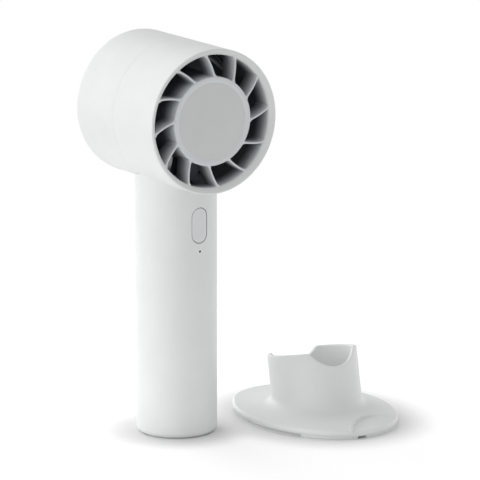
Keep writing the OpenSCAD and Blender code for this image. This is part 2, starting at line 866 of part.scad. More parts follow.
main_shell();
rear_shell();
outlet_ring();
guide_vanes();
hub_shell();
hub_disc();
motor_pod();
intake_grille();
motor_mount();
mount_screws();
motor_board();
stator_core();
stator_coils();
bearings();
impeller_hub();
impeller_blades();
rotor_cup();
rotor_magnet();
shaft();
shaft_clip();
power_button();
switch_stem();
switch_body();
status_light();
light_pipe();
circuit_board();
control_chip();
power_coil();
lead_sockets();
usb_port();
usb_tongue();
chassis();
battery_cell();
cell_tabs();
battery_leads();
motor_leads();
base_cap();
base_screws();
stand_cup();
stand_foot();
stand_plate();
stand_ballast();
stand_pads();
stand_screws();
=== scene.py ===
import json
import math

import bmesh
import bpy
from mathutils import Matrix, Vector


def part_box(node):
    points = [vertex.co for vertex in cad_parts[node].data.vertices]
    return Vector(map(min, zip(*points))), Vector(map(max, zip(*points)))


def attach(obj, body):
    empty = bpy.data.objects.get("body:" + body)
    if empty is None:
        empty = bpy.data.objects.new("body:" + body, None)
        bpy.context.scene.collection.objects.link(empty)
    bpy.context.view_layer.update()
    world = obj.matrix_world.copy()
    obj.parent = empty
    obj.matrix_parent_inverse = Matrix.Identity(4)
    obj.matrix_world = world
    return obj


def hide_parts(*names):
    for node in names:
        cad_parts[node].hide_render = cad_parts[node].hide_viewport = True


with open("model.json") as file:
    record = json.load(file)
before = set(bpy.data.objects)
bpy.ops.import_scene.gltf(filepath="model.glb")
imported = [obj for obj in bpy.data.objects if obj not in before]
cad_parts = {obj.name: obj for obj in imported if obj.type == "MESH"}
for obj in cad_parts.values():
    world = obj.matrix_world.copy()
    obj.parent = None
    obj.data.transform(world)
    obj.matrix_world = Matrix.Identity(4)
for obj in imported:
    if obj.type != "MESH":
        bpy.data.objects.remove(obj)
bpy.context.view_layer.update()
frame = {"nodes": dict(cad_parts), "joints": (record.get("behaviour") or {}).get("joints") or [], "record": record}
mm = 0.001

# places taken from the frame
jointList = {j["name"]: j for j in frame["joints"]}
mountList = {m["name"]: m for m in frame["record"]["mounts"]}
axisZ = jointList["rotor_spin"]["pos_m"][2] / mm
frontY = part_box("main_shell")[0].y / mm
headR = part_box("main_shell")[1].x / mm
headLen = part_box("rear_shell")[1].y / mm - frontY
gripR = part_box("base_cap")[1].x / mm
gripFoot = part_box("main_shell")[0].z / mm


def low(node):
    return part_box(node)[0] / mm


def high(node):
    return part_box(node)[1] / mm


def inHead(a, b, depth):
    # a point beside the head's axis, depth behind the front edge
    return (a, frontY + depth, axisZ + b)


def upright(a, b, height):
    return (a, b, height)


# mesh helpers, all in millimetres
class Shape:
    def __init__(self):
        self.points = []
        self.faces = []

    def grid(self, rows, loop=False, caps=False):
        # rows of points that close on themselves; a row of one point is a pole
        starts = []
        for row in rows:
            starts.append(len(self.points))
            self.points.extend(row)
        last = len(rows) if loop else len(rows) - 1
        for i in range(last):
            j = (i + 1) % len(rows)
            lower, upper = rows[i], rows[j]
            a, b = starts[i], starts[j]
            count = max(len(lower), len(upper))
            for k in range(count):
                n = (k + 1) % count
                if len(lower) == 1:
                    self.faces.append((a, b + n, b + k))
                elif len(upper) == 1:
                    self.faces.append((a + k, a + n, b))
                else:
                    self.faces.append((a + k, a + n, b + n, b + k))
        if caps:
            self.faces.append(tuple(starts[0] + k for k in range(len(rows[0])))[::-1])
            self.faces.append(tuple(starts[-1] + k for k in range(len(rows[-1]))))

    def spin(self, outline, place, segments=144):
        # a closed outline of (radius, height) turned about an axis; points on the axis become poles
        onAxis = [i for i, p in enumerate(outline) if p[0] < 1e-6]
        rows = []
        for radius, height in outline:
            if radius < 1e-6:
                rows.append([place(0, 0, height)])
            else:
                rows.append([place(radius * math.cos(t), radius * math.sin(t), height)
                             for t in turns(segments)])
        self.grid(rows, loop=not onAxis)

    def block(self, lowCorner, highCorner, edge):
        # a box with softened edges
        (x0, y0, z0), (x1, y1, z1) = lowCorner, highCorner
        rows = []
        for z, inset in ((z0, edge), (z0 + edge * 0.3, edge * 0.3), (z0 + edge, 0),
                         (z1 - edge, 0), (z1 - edge * 0.3, edge * 0.3), (z1, edge)):
            rows.append([(x, y, z) for x, y in softRectangle(x0 + inset, y0 + inset,
                                                            x1 - inset, y1 - inset, edge)])
        self.grid(rows, caps=True)


def turns(count):
    return [2 * math.pi * k / count for k in range(count)]


def softRectangle(x0, y0, x1, y1, edge):
    points = []
    for cx, cy, start in ((x1 - edge, y1 - edge, 0), (x0 + edge, y1 - edge, 90),
                          (x0 + edge, y0 + edge, 180), (x1 - edge, y0 + edge, 270)):
        for step in range(4):
            t = math.radians(start + step * 30)
            points.append((cx + edge * math.cos(t), cy + edge * math.sin(t)))
    return points


def softOutline(corners, steps=5, support=0.12):
    # a closed outline whose corners are (x, y, radius), with holding points beside each corner
    result = []
    count = len(corners)
    for i, (x, y, radius) in enumerate(corners):
        here = Vector((x, y))
        back = Vector(corners[i - 1][:2])
        ahead = Vector(corners[(i + 1) % count][:2])
        if x < 1e-6:
            result.append((0, y))
            continue
        toBack, toAhead = back - here, ahead - here
        room = min(toBack.length, toAhead.length) * 0.48
        a, b = toBack.normalized(), toAhead.normalized()
        half = a.angle(b) / 2
        radius = min(radius, room * math.tan(half))
        reach = radius / math.tan(half)
        hold = min(support, room - reach)
        if hold > 0.01:
            result.append(tuple(here + a * (reach + hold)))
        if radius < 1e-4:
            result.append((x, y))
        else:
            centre = here + (a + b).normalized() * (radius / math.sin(half))
            va, vb = here + a * reach - centre, here + b * reach - centre
            sweep = va.angle(vb)
            for k in range(steps + 1):
                t = k / steps
                mixed = (va * math.sin((1 - t) * sweep) + vb * math.sin(t * sweep)) / math.sin(sweep)
                result.append(tuple(centre + mixed))
        if hold > 0.01:
            result.append(tuple(here + b * (reach + hold)))
    return result


def meshObject(shape, name):
    mesh = bpy.data.meshes.new(name)
    mesh.from_pydata([(x * mm, y * mm, z * mm) for x, y, z in shape.points], [], shape.faces)
    work = bmesh.new()
    work.from_mesh(mesh)
    bmesh.ops.recalc_face_normals(work, faces=work.faces)
    work.to_mesh(mesh)
    work.free()
    piece = bpy.data.objects.new(name, mesh)
    bpy.context.scene.collection.objects.link(piece)
    return piece


def cutAway(piece, shape):
    # takes a shape out of a piece
    cutter = meshObject(shape, piece.name + "Cutter")
    cut = piece.modifiers.new("cut", "BOOLEAN")
    cut.operation = "DIFFERENCE"
    cut.solver = "EXACT"
    cut.object = cutter
    bpy.context.view_layer.update()
    shaped = piece.evaluated_get(bpy.context.evaluated_depsgraph_get())
    result = bpy.data.meshes.new_from_object(shaped)
    piece.modifiers.clear()
    piece.data = result
    bpy.data.objects.remove(cutter)


def joinShape(piece, shape):
    # adds a shape's faces to a piece
    other = meshObject(shape, piece.name + "Rest")
    work = bmesh.new()
    work.from_mesh(piece.data)
    work.from_mesh(other.data)
    work.to_mesh(piece.data)
    work.free()
    bpy.data.objects.remove(other)


def finishPiece(piece, material, body, replaced=(), crease=38):
    mesh = piece.data
    mesh.materials.clear()
    mesh.materials.append(material)
    mesh.shade_smooth()
    mesh.set_sharp_from_angle(angle=math.radians(crease))
    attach(piece, body)
    if replaced:
        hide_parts(*replaced)
    return piece


def makePiece(shape, name, material, body, replaced=(), crease=38):
    return finishPiece(meshObject(shape, name), material, body, replaced, crease)


# finishes
def startMaterial(name):
    material = bpy.data.materials.new(name)
    material.use_nodes = True
    tree = material.node_tree
    shader = tree.nodes["Principled BSDF"]
    place = tree.nodes.new("ShaderNodeTexCoord").outputs["Object"]
    return material, tree, shader, place


def noise(tree, place, scale, detail=2.0, stretch=None):
    node = tree.nodes.new("ShaderNodeTexNoise")
    node.inputs["Scale"].default_value = scale
    node.inputs["Detail"].default_value = detail
    if stretch:
        mapping = tree.nodes.new("ShaderNodeMapping")
        mapping.inputs["Scale"].default_value = stretch
        tree.links.new(place, mapping.inputs["Vector"])
        place = mapping.outputs["Vector"]
    tree.links.new(place, node.inputs["Vector"])
    return node.outputs["Fac"]


def spread(tree, value, lowest, highest, fromLow=0.3, fromHigh=0.7):
    node = tree.nodes.new("ShaderNodeMapRange")
    node.inputs["From Min"].default_value = fromLow
    node.inputs["From Max"].default_value = fromHigh
    node.inputs["To Min"].default_value = lowest
    node.inputs["To Max"].default_value = highest
    tree.links.new(value, node.inputs["Value"])
    return node.outputs["Result"]


def smoothRamp(tree, value, fromLow, fromHigh):
    node = tree.nodes.new("ShaderNodeMapRange")
    node.interpolation_type = "SMOOTHSTEP"
    node.inputs["From Min"].default_value = fromLow
    node.inputs["From Max"].default_value = fromHigh
    tree.links.new(value, node.inputs["Value"])
    return node.outputs["Result"]


def calculate(tree, operation, first, second):
    # a maths node whose second side is a socket or a number
    node = tree.nodes.new("ShaderNodeMath")
    node.operation = operation
    tree.links.new(first, node.inputs[0])
    if isinstance(second, float):
        node.inputs[1].default_value = second
    else:
        tree.links.new(second, node.inputs[1])
    return node.outputs[0]


def vectorNode(tree, operation, value, other=None):
    node = tree.nodes.new("ShaderNodeVectorMath")
    node.operation = operation
    if other is not None:
        node.inputs[1].default_value = other
    tree.links.new(value, node.inputs[0])
    return node


def twoTone(tree, value, first, second):
    node = tree.nodes.new("ShaderNodeMix")
    node.data_type = "RGBA"
    node.inputs[6].default_value = (*first, 1)
    node.inputs[7].default_value = (*second, 1)
    tree.links.new(value, node.inputs[0])
    return node.outputs[2]


def bump(tree, shader, value, depth, strength):
    node = tree.nodes.new("ShaderNodeBump")
    node.inputs["Distance"].default_value = depth
    node.inputs["Strength"].default_value = strength
    tree.links.new(value, node.inputs["Height"])
    tree.links.new(node.outputs["Normal"], shader.inputs["Normal"])


def scaled(colour, by):
    return tuple(min(1.0, c * by) for c in colour)


def mouldedPlastic(name, colour, roughness=0.42, grain=0.25, mottle=0.02, coat=0.0):
    # moulded plastic: a faint flow mottle, an uneven satin and a fine spark-eroded grain
    material, tree, shader, place = startMaterial(name)
    flow = spread(tree, noise(tree, place, 55, 3), 0, 1)
    tone = twoTone(tree, flow, scaled(colour, 1 - mottle), scaled(colour, 1 + mottle))
    tree.links.new(tone, shader.inputs["Base Color"])
    satin = spread(tree, noise(tree, place, 420, 2), roughness - 0.04, roughness + 0.04)
    tree.links.new(satin, shader.inputs["Roughness"])
    shader.inputs["Specular IOR Level"].default_value = 0.42
    shader.inputs["Coat Weight"].default_value = coat
    shader.inputs["Coat Roughness"].default_value = 0.2
    if grain:
        bump(tree, shader, noise(tree, place, 3600, 2), 0.00002, grain)
    return material


def workedMetal(name, colour, roughness=0.3, lines=(1, 1, 1), grain=0.2):
    # ground, turned or plated metal, with marks drawn out along the stretch
    material, tree, shader, place = startMaterial(name)
    marks = noise(tree, place, 900, 3, lines)
    tone = twoTone(tree, spread(tree, marks, 0, 1), scaled(colour, 0.86), scaled(colour, 1.08))
    tree.links.new(tone, shader.inputs["Base Color"])
    tree.links.new(spread(tree, marks, roughness - 0.08, roughness + 0.1), shader.inputs["Roughness"])
    shader.inputs["Metallic"].default_value = 1.0
    bump(tree, shader, marks, 0.00001, grain)
    return material


# painted shade: deep inside the head the white plastic is coloured dark, standing in for the shade in the duct
# behind the vanes; it fades back to white near the intake
paintedDuctShade = {"litTo": 2.0, "darkFrom": 13.0, "darkTo": 48.0, "litFrom": 54.0, "radius": 31.35,
        "paintedShadeColour": (0.105, 0.122, 0.136)}


def paintDuctShade(material, colourNode):
    # painted shade: inside the head, the white plastic's colour runs dark behind the vanes, standing in for the
    # shade deep in the duct
    tree = material.node_tree
    shader = tree.nodes["Principled BSDF"]
    place = tree.nodes.new("ShaderNodeTexCoord").outputs["Object"]
    moved = vectorNode(tree, "SUBTRACT", place, (0, frontY * mm, axisZ * mm)).outputs[0]
    apart = tree.nodes.new("ShaderNodeSeparateXYZ")
    tree.links.new(moved, apart.inputs[0])
    depth = apart.outputs["Y"]
    behindVanes = smoothRamp(tree, depth, paintedDuctShade["litTo"] * mm, paintedDuctShade["darkFrom"] * mm)
    beforeIntake = smoothRamp(tree, depth, paintedDuctShade["litFrom"] * mm, paintedDuctShade["darkTo"] * mm)
    flat = vectorNode(tree, "MULTIPLY", moved, (1, 0, 1)).outputs[0]
    reach = vectorNode(tree, "LENGTH", flat).outputs["Value"]
    inside = calculate(tree, "LESS_THAN", reach, paintedDuctShade["radius"] * mm)
    share = calculate(tree, "MULTIPLY", calculate(tree, "MULTIPLY", behindVanes, beforeIntake), inside)
    mix = tree.nodes.new("ShaderNodeMix")
    mix.data_type = "RGBA"
    mix.inputs[7].default_value = (*paintedDuctShade["paintedShadeColour"], 1)
    tree.links.new(share, mix.inputs[0])
    tree.links.new(colourNode, mix.inputs[6])
    tree.links.new(mix.outputs[2], shader.inputs["Base Color"])


# moulded plastic with the painted duct shade
def plasticWithPaintedDuctShade(*settings):
    material = mouldedPlastic(*settings)
    shader = material.node_tree.nodes["Principled BSDF"]
    paintDuctShade(material, shader.inputs["Base Color"].links[0].from_socket)
    return material


finish = {
    # the white shell and grille carry the painted duct shade
    "shell_white": plasticWithPaintedDuctShade("satinShellWhite", (0.73, 0.74, 0.735), 0.52),
    "grille_white": plasticWithPaintedDuctShade("satinGrilleWhite", (0.66, 0.685, 0.695), 0.45),
    "hub_grey": mouldedPlastic("mattHubGrey", (0.62, 0.64, 0.635), 0.55, 0.3),
    "button_white": mouldedPlastic("buttonWhite", (0.70, 0.705, 0.715), 0.38, 0.12),
    "impeller_grey": mouldedPlastic("impellerGrey", (0.075, 0.085, 0.094), 0.4),
    "part_black": mouldedPlastic("mouldedBlack", (0.018, 0.018, 0.02), 0.4),
    "socket_ivory": mouldedPlastic("socketIvory", (0.75, 0.70, 0.55), 0.45),
    "light_smoke": mouldedPlastic("smokedLight", (0.015, 0.015, 0.017), 0.15, 0, 0.05, 0.5),
    "frame_grey": mouldedPlastic("frameGrey", (0.10, 0.105, 0.115), 0.5, 0.4),
    "plate_grey": mouldedPlastic("mattPlateGrey", (0.60, 0.61, 0.61), 0.5, 0.5, 0.03),
    "pad_rubber": mouldedPlastic("padRubber", (0.09, 0.095, 0.10), 0.75, 0.7, 0.06),
    "lead_red": mouldedPlastic("leadRed", (0.38, 0.015, 0.012), 0.4, 0.1, 0.05),
    "lead_amber": mouldedPlastic("leadAmber", (0.09, 0.035, 0.01), 0.4, 0.1, 0.05),
    "cell_wrap": mouldedPlastic("cellWrap", (0.015, 0.20, 0.12), 0.28, 0.05, 0.04, 0.4),
    "board_green": mouldedPlastic("boardGreen", (0.01, 0.10, 0.035), 0.35, 0.3, 0.12, 0.3),
    "mount_alloy": workedMetal("turnedAlloy", (0.75, 0.76, 0.78), 0.32, (1, 6, 1)),
    "steel": workedMetal("groundSteel", (0.58, 0.59, 0.61), 0.25, (1, 8, 1)),
    "screw_steel": workedMetal("zincScrew", (0.42, 0.43, 0.45), 0.35),
    "magnet": workedMetal("magnetBlack", (0.08, 0.08, 0.09), 0.5),
    "core_steel": workedMetal("laminatedCore", (0.30, 0.32, 0.35), 0.4, (1, 14, 1), 0.6),
    "copper": workedMetal("enamelledCopper", (0.72, 0.30, 0.12), 0.25),
    "nickel": workedMetal("satinNickel", (0.66, 0.64, 0.60), 0.3),
    "ballast_steel": workedMetal("zincedBallast", (0.40, 0.41, 0.43), 0.45, (1, 1, 1), 0.5),
}
print("finishes made:", len(finish))

slotOfNode = {s["node"]: s["material_slot"] for s in frame["record"]["subparts"]}
for nodeName, nodeObject in frame["nodes"].items():
    for slotHolder in nodeObject.material_slots:
        slotHolder.material = finish[slotOfNode[nodeName]]

# front barrel and grip
barrel = {
    "seam": low("rear_shell").y + 3.9 - frontY,  # the rear barrel's spigot reaches 3.9 past the seam
    "bore": headR - 1.8,
    "outlet": headR - 2.8,
    "lipDepth": 2.2,
    "landEnd": 3.3,
    "frontRound": 0.8,
    "gripWall": 1.8,
    "blend": 0.9,
    "segments": 192,
    "postHole": 1.05,
    "postR": 2.2,
    "postTop": 12.6,
    "postIn": 2.1,
}
button = {
    "flange": 1.0,
    "gap": 0.3,
    "edge": 0.4,
    "skin": 2.1,
    "lightGap": 0.06,
    "postR": 1.8,
}


def middle(node):
    return (low(node) + high(node)) / 2


buttonAt = middle("power_button")
buttonSize = high("power_button") - low("power_button") - Vector((1, 0, 1)) * 2 * button["flange"]
lightAt = middle("light_pipe")
lightR = (high("light_pipe").x - low("light_pipe").x) / 2


def arc(cx, cy, radius, fromDeg, toDeg, steps):
    points = []
    for k in range(steps + 1):
        t = math.radians(fromDeg + (toDeg - fromDeg) * k / steps)
        points.append((cx + radius * math.cos(t), cy + radius * math.sin(t)))
    return points


def barrelTop(x, radius):
    # height of the underside of a cylinder on the head's axis
    return axisZ - math.sqrt(max(radius * radius - x * x, 0))


def frontBarrel(shape):
    r = barrel["frontRound"]
    outline = arc(headR - r, r, r, 0, -80, 8)
    outline += [(headR - r - 0.2, 0.16)]
    outline += [(barrel["outlet"] + 0.15, barrel["lipDepth"] - 0.16),
                (barrel["outlet"] + 0.02, barrel["lipDepth"] + 0.05)]
    outline += softOutline([(barrel["outlet"], barrel["landEnd"], 0.1),
                            (barrel["bore"], barrel["landEnd"], 0.0),
                            (barrel["bore"], barrel["seam"], 0.1),
                            (headR, barrel["seam"], 0.06),
                            (headR, barrel["seam"] - 2, 0.0)])[:-3]
    outline += [(headR, barrel["seam"] - 2), (headR, r + 0.3)]
    shape.spin(outline, inHead, barrel["segments"])


def gripTube(shape):
    seamY = frontY + barrel["seam"]
    inner = gripR - barrel["gripWall"]
    step = math.asin(seamY / gripR)
    angles = sorted(turns(barrel["segments"]) + [step - 0.002, step + 0.002,
                                                 math.pi - step - 0.002, math.pi - step + 0.002])

    def top(t, radius):
        # inside the front barrel's wall, or just under the rear barrel
        y = gripR * math.sin(t)
        inside = headR - 0.9 if y < seamY else headR + 0.1
        return barrelTop(radius * math.cos(t), inside)

    rows = []
    for rise in (0, 0.1, 0.6):
        rows.append([(gripR * math.cos(t), gripR * math.sin(t), gripFoot + rise) for t in angles])
    for drop in (0.5, 0):
        rows.append([(gripR * math.cos(t), gripR * math.sin(t), top(t, gripR) - drop) for t in angles])
    rows.append([(inner * math.cos(t), inner * math.sin(t), top(t, inner)) for t in angles])
    rows.append([(inner * math.cos(t), inner * math.sin(t), gripFoot) for t in angles])
    shape.grid(rows, loop=True)


def gripBlend(shape):
    # the small concave blend where the grip runs into the front barrel
    f = barrel["blend"]
    seamY = frontY + barrel["seam"]
    step = math.asin((seamY - 0.02) / gripR)
    rings = []
    count = 150
    for k in range(count + 1):
        t = -math.pi - step + (math.pi + 2 * step) * k / count
        onGrip = Vector((math.cos(t), math.sin(t), 0))
        x = gripR * math.cos(t)
        z = barrelTop(x, headR)
        onBarrel = Vector((x / headR, 0, (z - axisZ) / headR))
        corner = Vector((x, gripR * math.sin(t), z))
        centre = corner + (onGrip + onBarrel) * (f / (1 + onGrip.dot(onBarrel)))
        lowTangent = (onBarrel - onGrip * onGrip.dot(onBarrel)).normalized()
        highTangent = (onGrip - onBarrel * onGrip.dot(onBarrel)).normalized()
        sweep = onGrip.angle(onBarrel)
        section = [centre - f * onGrip + 0.25 * lowTangent - 0.03 * onGrip]
        for s in range(9):
            u = s / 8
            ray = (onGrip * math.sin((1 - u) * sweep) + onBarrel * math.sin(u * sweep)) / math.sin(sweep)
            section.append(centre - f * ray + 0.004 * ray)
        section.append(centre - f * onBarrel + 0.25 * highTangent - 0.03 * onBarrel)
        section.append(corner - (onGrip + onBarrel) * 0.35)
        rings.append([tuple(p) for p in section])
    shape.grid(rings, caps=True)


def pillRing(halfWidth, halfStraight, steps=14):
    points = []
    for start, side in ((0, 1), (180, -1)):
        for k in range(steps + 1):
            t = math.radians(start + 180 * k / steps)
            points.append((halfWidth * math.cos(t), side * halfStraight + halfWidth * math.sin(t)))
    # points along the two straight sides keep the curve of the grip
    straight = [(-halfWidth, halfStraight * (1 - 2 * k / 8)) for k in range(1, 8)]
    other = [(halfWidth, -halfStraight * (1 - 2 * k / 8)) for k in range(1, 8)]
    return points[:steps + 1] + straight + points[steps + 1:] + other


def onGripFront(x, z, radius):
    # a point of the button's plan laid onto the round front of the grip
    x += buttonAt.x
    return (x, -math.sqrt(radius * radius - x * x), buttonAt.z + z)


def makeMainShell():
    shape = Shape()
    gripTube(shape)
    piece = meshObject(shape, "mainShell")
    opening = Shape()
    half = buttonSize.x / 2 + button["gap"]
    straight = (buttonSize.z - buttonSize.x) / 2
    opening.grid([[(buttonAt.x + x, y, buttonAt.z + z) for x, z in pillRing(half, straight)]
                  for y in (-gripR - 1, -gripR + 4)], caps=True)
    cutAway(piece, opening)
    opening = Shape()
    lightHole = lightR + button["lightGap"]
    opening.grid([[(lightAt.x + lightHole * math.cos(t), y, lightAt.z + lightHole * math.sin(t))
                   for t in turns(32)] for y in (-gripR - 1, -gripR + 4)], caps=True)
    cutAway(piece, opening)
    rest = Shape()
    frontBarrel(rest)
    gripBlend(rest)
    inner = gripR - barrel["gripWall"]
    hole, post, top = barrel["postHole"], barrel["postR"], barrel["postTop"]
    for side in (-1, 1):
        rest.spin(softOutline([(hole, gripFoot, 0), (post, gripFoot, 0.2), (post, top, 0.2), (hole, top, 0)]),
                  lambda a, b, h, s=side: (s * (inner - barrel["postIn"]) + a, b, h), 40)
    joinShape(piece, rest)
    return finishPiece(piece, finish["shell_white"], "fan", ("main_shell",))


makeMainShell()
print("front barrel and grip made")


# rear barrel
rear = {"gap": 0.07, "round": 3.6, "inner": barrel["outlet"], "bore": barrel["bore"], "lip": 2.2,
        "spigot": 4.0, "collar": 2.8}


def makeRearShell():
    start = barrel["seam"] + rear["gap"]
    sweep = math.degrees(math.acos((rear["inner"] - (headR - rear["round"])) / rear["round"]))
    outline = [(headR, start + 2)] + [(headR, headLen - rear["round"] - 0.3)]
    outline += arc(headR - rear["round"], headLen - rear["round"], rear["round"], 0, sweep - 4, 14)
    outline += [(rear["inner"] + 0.06, headLen - 0.16), (rear["inner"], headLen - 0.4)]
    lipStart, collarEnd = headLen - rear["lip"], start + rear["collar"]
    outline += softOutline([(rear["inner"], lipStart, 0.12), (rear["bore"], lipStart, 0),
                            (rear["bore"], collarEnd, 0), (rear["inner"], collarEnd, 0.1),
                            (rear["inner"], start - rear["spigot"], 0.2),
                            (rear["bore"] - 0.1, start - rear["spigot"], 0.3),
                            (rear["bore"] - 0.1, start, 0), (headR, start, 0.06),
                            (headR, start + 2, 0)])[:-3]
    shape = Shape()
    shape.spin(outline, inHead, barrel["segments"])
    return makePiece(shape, "rearShell", finish["shell_white"], "fan", ("rear_shell",))


makeRearShell()
print("rear barrel made")

# outlet: ring, guide vanes and hub
outlet = {
    "ringFront": 3.4,
    "ringBack": 12.0,
    "ringOut": headR - 1.9,
    "ringIn": barrel["outlet"],
    "hub": 20.3,
    "hubFront": 1.5,
    "hubRim": 2.3,
    "hubFloor": 3.0,
    "hubFloorBack": 5.4,
    "discFront": 2.05,
    "hubWall": 1.3,
    "vanes": 12,
    "vaneInner": -4.5,
    "vaneSweep": 10.7,
    "vaneFront": 1.9,
    "vaneThick": 0.85,
    "root": 0.7,
    "rootReach": 0.45,
    "stations": 22,
    "screwRing": 9,
    "screwHead": 2.0,
    "screwHole": 1.1,
    "screwSeat": 1.2,
    "drillEnd": 8,
}


def vaneSection(front, back, halfFront, halfBack):
    # depth and side of a blade section, with a round nose
    points = []
    length, taper = back - front - halfFront, halfFront - halfBack
    for k in range(9):
        t = math.radians(180 * k / 8)
        points.append((front + halfFront * (1 - math.sin(t)), halfFront * math.cos(t)))
    for k in range(1, 5):
        s = k / 5
        points.append((front + halfFront + length * s, -halfFront + taper * s))
    points += [(back, -halfBack), (back, halfBack)]
    for k in range(4, 0, -1):
        s = k / 5
        points.append((front + halfFront + length * s, halfFront - taper * s))
    return points


def makeOutlet():
    shape = Shape()
    ringIn, ringOut, ringFront, ringBack = (outlet[k] for k in ("ringIn", "ringOut", "ringFront", "ringBack"))
    shape.spin(softOutline([(ringIn, ringFront, 0.15), (ringOut, ringFront, 0),
                            (ringOut, ringBack, 0.1), (ringIn, ringBack, 0.2)]), inHead, barrel["segments"])
    inner, outer = outlet["hub"] - 0.4, outlet["ringIn"] + 0.4
    stations = outlet["stations"]
    for i in range(outlet["vanes"]):
        rings = []
        for s in range(stations + 1):
            u = 0.5 - 0.5 * math.cos(math.pi * s / stations)
            radius = inner + (outer - inner) * u
            reach = min(max(radius - outlet["hub"], 0), max(outlet["ringIn"] - radius, 0))
            angle = math.radians(outlet["vaneInner"] + outlet["vaneSweep"] * u + 360 * i / outlet["vanes"])
            swell = outlet["root"] * math.exp(-reach / outlet["rootReach"])
            half = outlet["vaneThick"] / 2
            radial = Vector((math.cos(angle), math.sin(angle)))
            lean = math.atan2(radius * math.radians(outlet["vaneSweep"]), outer - inner)
            across = Vector((-math.sin(angle + lean), math.cos(angle + lean)))
            ring = []
            for depth, side in vaneSection(outlet["vaneFront"], outlet["ringBack"] - 0.1, half, half * 0.75):
                side += math.copysign(swell, side) if abs(side) > 0.05 else 0
                at = radial * radius + across * side
                ring.append(inHead(at.x, at.y, depth))
            rings.append(ring)
        shape.grid(rings, caps=True)
    hubIn = outlet["hub"] - outlet["hubRim"]
    hubShape = Shape()
    hubShape.spin(softOutline([(0, outlet["hubFloor"], 0), (hubIn, outlet["hubFloor"], 0.1),
                               (hubIn, outlet["discFront"] + 0.12, 0.05),
                               (hubIn - 0.45, outlet["discFront"] + 0.01, 0.03),
                               (hubIn + 0.25, outlet["hubFront"] + 0.25, 0.5),
                               (hubIn + 0.9, outlet["hubFront"], 0.6), (outlet["hub"], outlet["hubFront"], 0.6),
                               (outlet["hub"], outlet["ringBack"], 0.1),
                               (outlet["hub"] - outlet["hubWall"], outlet["ringBack"], 0.1),
                               (outlet["hub"] - outlet["hubWall"], outlet["hubFloorBack"], 0.3),
                               (0, outlet["hubFloorBack"], 0)]), inHead, 160)
    piece = meshObject(hubShape, "outletGrille")
    ring, head, hole = outlet["screwRing"], outlet["screwHead"], outlet["screwHole"]
    seat, drillEnd = outlet["hubFloor"] + outlet["screwSeat"], outlet["drillEnd"]
    for k in range(3):
        t = math.radians(120 * k)
        x, z = ring * math.cos(t), -ring * math.sin(t)
        drill = Shape()
        drill.spin([(0, 0), (head, 0), (head, seat), (hole, seat), (hole, drillEnd), (0, drillEnd)],
                   lambda a, b, h, x=x, z=z: inHead(x + a, z + b, h), 40)
        cutAway(piece, drill)
    joinShape(piece, shape)
    finishPiece(piece, finish["grille_white"], "fan",
                ("outlet_ring", "guide_vanes", "hub_shell"))
    disc = Shape()
    discR = high("hub_disc").x
    discBack = high("hub_disc").y - frontY
    disc.spin(softOutline([(0, outlet["discFront"], 0), (discR - 0.3, outlet["discFront"], 0.0),
                           (discR, outlet["discFront"] + 0.3, 0), (discR, discBack, 0.1), (0, discBack, 0)]),
              inHead, 160)
    makePiece(disc, "hubDisc", finish["hub_grey"], "fan", ("hub_disc",))


makeOutlet()
print("outlet made")

# impeller
wheel = {"blades": 9, "root": 20.0, "tip": high("impeller_blades").x, "pitchRoot": 44, "pitchTip": 56,
         "front": low("impeller_hub").y - frontY, "back": high("impeller_hub").y - frontY, "camber": 1.3,
         "shaft": 1.5, "boss": 4, "web": 3.2, "wall": 1.5, "thickRoot": 1.25, "thinning": 0.5,
         "stations": 8, "sectionPoints": 28}


def makeImpeller():
    shape = Shape()
    front, back, r = wheel["front"], wheel["back"], wheel["root"]
    shaft, boss, web, wall = wheel["shaft"], wheel["boss"], back - wheel["web"], r - wheel["wall"]
    shape.spin(softOutline([(shaft, front, 0.1), (boss, front, 0.3), (boss, web, 0.3), (wall, web, 1.5),
                            (wall, front, 0.1), (r, front, 0.3), (r, back, 5.0), (shaft, back, 0.2)], 8),
               inHead)
    centre, length = (front + back) / 2, (back - front) - 1.2
    stations, sectionPoints = wheel["stations"], wheel["sectionPoints"]
    for i in range(wheel["blades"]):
        rings = []
        for s in range(stations + 1):
            u = s / stations
            radius = r - 0.3 + (wheel["tip"] - r + 0.3) * u
            pitch = math.radians(wheel["pitchRoot"] + (wheel["pitchTip"] - wheel["pitchRoot"]) * u)
            thick = wheel["thickRoot"] - wheel["thinning"] * u
            loop = []
            for k in range(sectionPoints):
                t = 2 * math.pi * k / sectionPoints
                c = 0.5 * math.cos(t)
                side = 0.5 * thick * math.sin(t) * (1.15 - 0.6 * c)
                along = c * length / math.cos(pitch)
                arch = wheel["camber"] * (1 - 4 * c * c) + side
                axial = along * math.cos(pitch) - arch * math.sin(pitch)
                across = along * math.sin(pitch) + arch * math.cos(pitch)
                angle = 2 * math.pi * i / wheel["blades"] + across / radius
                axial = max(-length / 2, min(length / 2, axial))
                loop.append(inHead(radius * math.cos(angle), radius * math.sin(angle), centre + axial))
            rings.append(loop)
        shape.grid(rings, caps=True)
    makePiece(shape, "impeller", finish["impeller_grey"], "rotor",
              ("impeller_hub", "impeller_blades"))


makeImpeller()
print("impeller made")

# intake grille
intake = {"bars": 24, "eye": 9.0, "barHalf": 0.5, "midRing": 19.0, "midHalf": 0.6, "rimWide": 2.1,
          "root": 0.4, "rootReach": 0.6}


